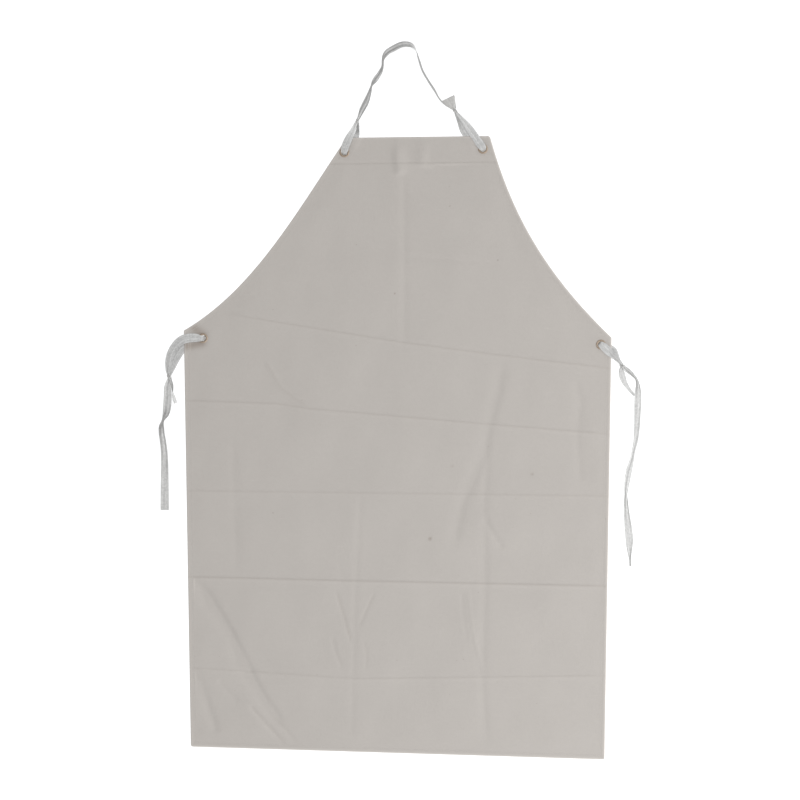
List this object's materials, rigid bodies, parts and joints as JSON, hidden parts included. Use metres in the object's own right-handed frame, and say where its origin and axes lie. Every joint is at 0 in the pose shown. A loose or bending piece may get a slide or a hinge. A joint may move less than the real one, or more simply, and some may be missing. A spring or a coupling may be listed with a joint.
{
  "type": "butcher apron",
  "caption": "Flat-laid bib apron of heavy cloth with turned hems, brass eyelets, a knotted tape neck strap and knotted tape waist ties.",
  "frame": {"origin": "centre of the cloth's outline, on the surface the apron lies on", "axes": "+Z out of the front face, +Y from the hem towards the bib, +X to the right as seen from the front"},
  "size_m": [0.8229, 1.2235, 0.0149],
  "materials": {
    "cloth": "matte heavy cotton drill, off-white, lightly coated",
    "hem": "the same cloth, turned under and sewn",
    "thread": "matte sewing thread",
    "brass": "satin",
    "tape": "matte white herringbone cotton tape"
  },
  "bodies": {
    "apron": {"upper_panel": "cloth", "top_hem": "hem", "left_arm_hem": "hem", "right_arm_hem": "hem", "left_side_hem_upper": "hem", "right_side_hem_upper": "hem", "top_stitching": "thread", "left_arm_stitching": "thread", "right_arm_stitching": "thread", "left_side_stitching_upper": "thread", "right_side_stitching_upper": "thread", "bib_left_eyelet": "brass", "bib_right_eyelet": "brass", "waist_left_eyelet": "brass", "waist_right_eyelet": "brass", "bib_left_washer": "brass", "bib_right_washer": "brass", "waist_left_washer": "brass", "waist_right_washer": "brass", "left_neck_loop": "tape", "right_neck_loop": "tape", "left_neck_knot": "tape", "right_neck_knot": "tape"},
    "skirt": {"lower_panel": "cloth", "left_side_hem_lower": "hem", "right_side_hem_lower": "hem", "bottom_hem": "hem", "left_side_stitching_lower": "thread", "right_side_stitching_lower": "thread", "bottom_stitching": "thread"},
    "neck_strap": {"neck_strap": "tape", "right_neck_end": "tape"},
    "left_tie": {"left_waist_loop": "tape", "left_waist_knot": "tape", "left_waist_end": "tape", "left_waist_tail": "tape"},
    "right_tie": {"right_waist_loop": "tape", "right_waist_knot": "tape", "right_waist_end": "tape", "right_waist_tail": "tape"}
  },
  "joints": [
    {"name": "skirt_fold", "type": "hinge", "parent": "apron", "child": "skirt", "pos_m": [0, -0.078, 0.0042], "axis": [-0.9999, 0.0125, 0], "range_deg": [0, 176]},
    {"name": "neck_strap_fold", "type": "hinge", "parent": "apron", "child": "neck_strap", "pos_m": [-0.069, 0.556, 0.0034], "axis": [0.9949, 0.1013, 0], "range_deg": [0, 120]},
    {"name": "left_tie_swing", "type": "hinge", "parent": "apron", "child": "left_tie", "pos_m": [-0.332, 0.18675, 0.002], "axis": [0, 0, -1], "range_deg": [-2, 75]},
    {"name": "right_tie_swing", "type": "hinge", "parent": "apron", "child": "right_tie", "pos_m": [0.346, 0.17575, 0.002], "axis": [0, 0, 1], "range_deg": [-2, 75]}
  ]
}
